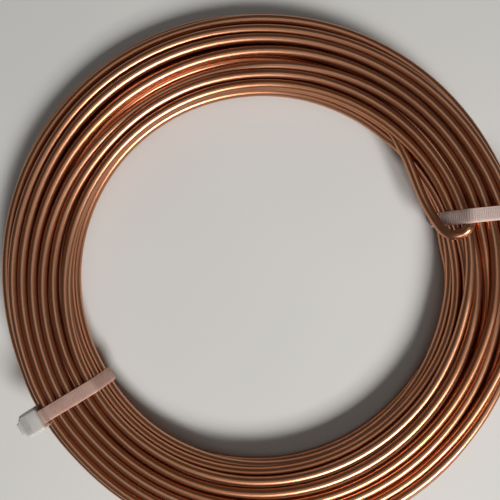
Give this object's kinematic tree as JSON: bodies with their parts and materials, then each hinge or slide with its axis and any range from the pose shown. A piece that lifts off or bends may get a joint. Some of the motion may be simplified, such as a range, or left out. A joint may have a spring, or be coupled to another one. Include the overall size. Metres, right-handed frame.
{
  "type": "copper-coloured wire coil",
  "caption": "Flat ring coil of copper-coloured solid aluminium wire, bound across the bundle by nylon cable ties, with one hooked wire end.",
  "frame": {"origin": "Centre of the coil's bottom: on the ring's axis, in the plane of the floor it lies on.", "axes": "+Z is the ring's axis and points up. The cable tie on the picture's left is at 225 degrees from +X, anticlockwise seen from above, and the one on its right crosses the bundle at about 31 degrees, so the picture's right-hand direction is 14 degrees anticlockwise from +X."},
  "size_m": [0.1668, 0.1668, 0.0179],
  "materials": {
    "wire": "copper-coloured anodised, semi-bright",
    "tie": "natural nylon, slightly translucent"
  },
  "bodies": {
    "root": {"wire_coil": "wire", "cable_tie_left": "tie", "cable_tie_right": "tie"}
  },
  "joints": []
}
